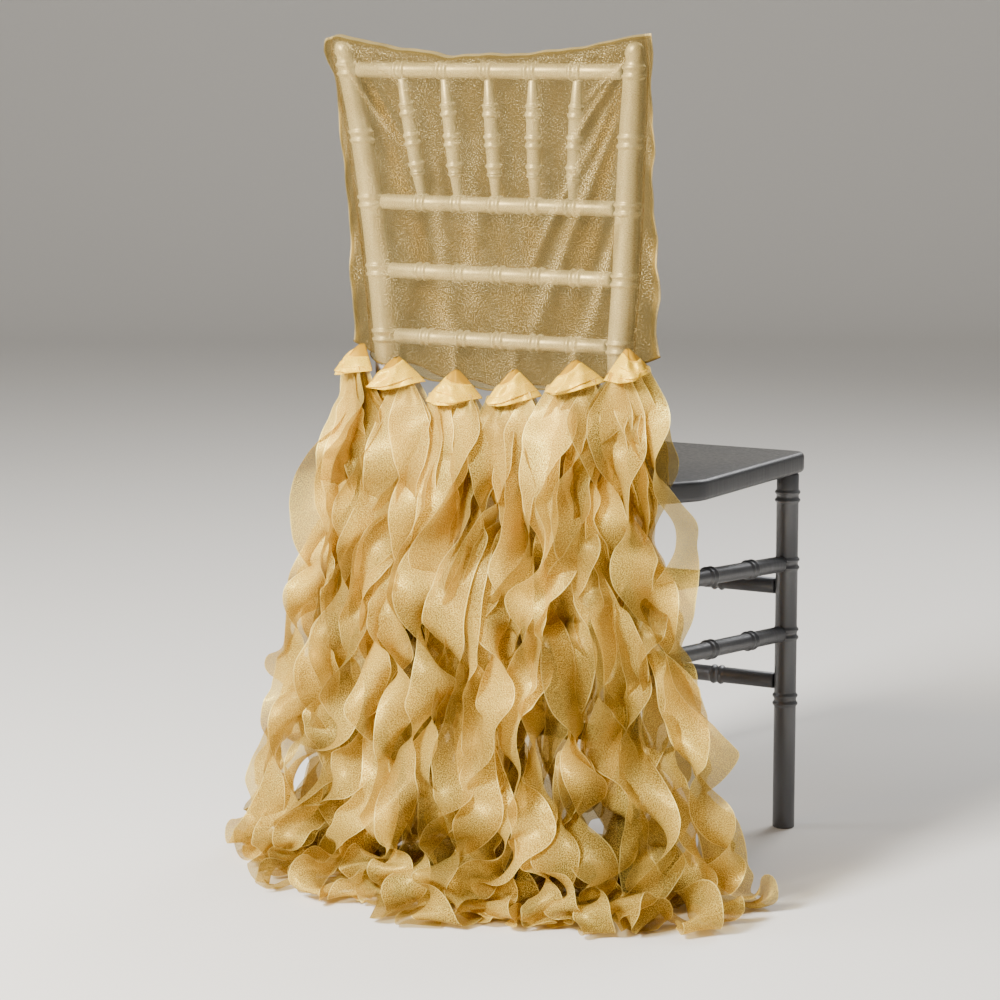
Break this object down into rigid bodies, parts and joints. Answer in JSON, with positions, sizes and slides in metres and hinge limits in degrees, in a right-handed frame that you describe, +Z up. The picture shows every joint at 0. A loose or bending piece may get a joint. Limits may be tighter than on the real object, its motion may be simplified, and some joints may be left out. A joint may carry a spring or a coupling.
{
  "type": "chair back cover on a banquet chair",
  "caption": "Sheer hood over the back of a banquet chair, with folded wraps along its hem and long curled cloth strips that fall behind the chair to the floor.",
  "frame": {"origin": "on the floor, under the middle of the whole object's box", "axes": "+Z up, +Y the way the chair faces, +X to the right when seen from behind the chair"},
  "size_m": [0.6634, 0.623, 0.9341],
  "materials": {
    "chair_paint": "satin silver paint",
    "sheer_cloth": "sheer crisp weave with a soft lustre",
    "folded_cloth": "the same cloth in several layers",
    "strip_cloth": "lustrous half sheer strips"
  },
  "bodies": {
    "root": {"back_post_left": "chair_paint", "back_post_right": "chair_paint", "back_rail_top": "chair_paint", "back_rail_second": "chair_paint", "back_rail_third": "chair_paint", "back_rail_lowest": "chair_paint", "spindle_1": "chair_paint", "spindle_2": "chair_paint", "spindle_3": "chair_paint", "spindle_4": "chair_paint", "spindle_5": "chair_paint", "seat": "chair_paint", "front_leg_left": "chair_paint", "front_leg_right": "chair_paint", "side_rung_upper_left": "chair_paint", "side_rung_upper_right": "chair_paint", "side_rung_lower_left": "chair_paint", "side_rung_lower_right": "chair_paint", "front_stretcher_upper": "chair_paint", "front_stretcher_lower": "chair_paint", "rear_stretcher_upper": "chair_paint", "rear_stretcher_lower": "chair_paint", "hood_back_panel": "sheer_cloth", "hood_front_panel": "sheer_cloth", "wrap_1": "folded_cloth", "wrap_2": "folded_cloth", "wrap_3": "folded_cloth", "wrap_4": "folded_cloth", "wrap_5": "folded_cloth", "wrap_6": "folded_cloth", "strips_1": "strip_cloth", "strips_2": "strip_cloth", "strips_3": "strip_cloth", "strips_4": "strip_cloth", "strips_5": "strip_cloth", "strips_6": "strip_cloth"}
  },
  "joints": []
}
